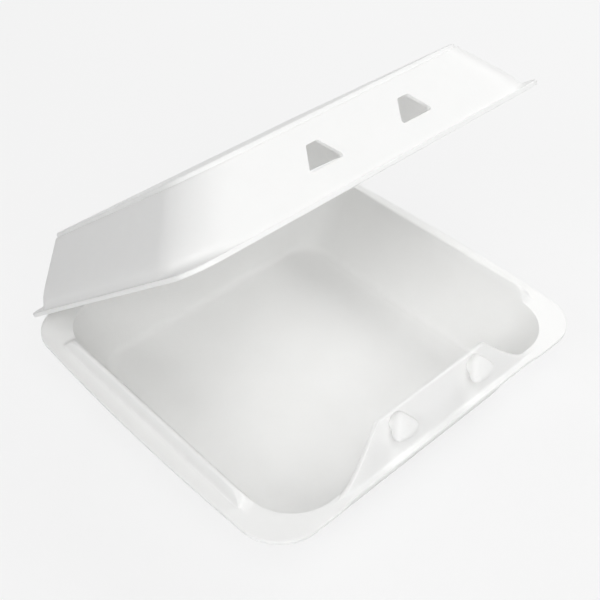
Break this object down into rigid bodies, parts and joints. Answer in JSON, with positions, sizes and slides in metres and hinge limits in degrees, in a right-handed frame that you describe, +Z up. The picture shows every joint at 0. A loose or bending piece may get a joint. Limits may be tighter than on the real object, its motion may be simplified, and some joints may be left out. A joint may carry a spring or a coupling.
{
  "type": "takeout container",
  "caption": "Hinged white foam takeout container with one compartment, raised side ribs, a front panel with locking tabs and a lid with slots to catch them.",
  "frame": {"origin": "on the tray's underside, below the middle of its rim", "axes": "+Z up, -Y towards the front with the tabs, +Y towards the crease at the back, X along the crease"},
  "size_m": [0.2364, 0.2192, 0.1954],
  "materials": {
    "foam": "fine satin foam skin"
  },
  "bodies": {
    "tray": {"tray": "foam", "hinge_crease": "foam"},
    "lid": {"lid": "foam"}
  },
  "joints": [
    {"name": "lid_hinge", "type": "hinge", "parent": "tray", "child": "lid", "pos_m": [0, 0.1056, 0.0442], "axis": [-1, 0, 0], "range_deg": [-39, 141]}
  ]
}
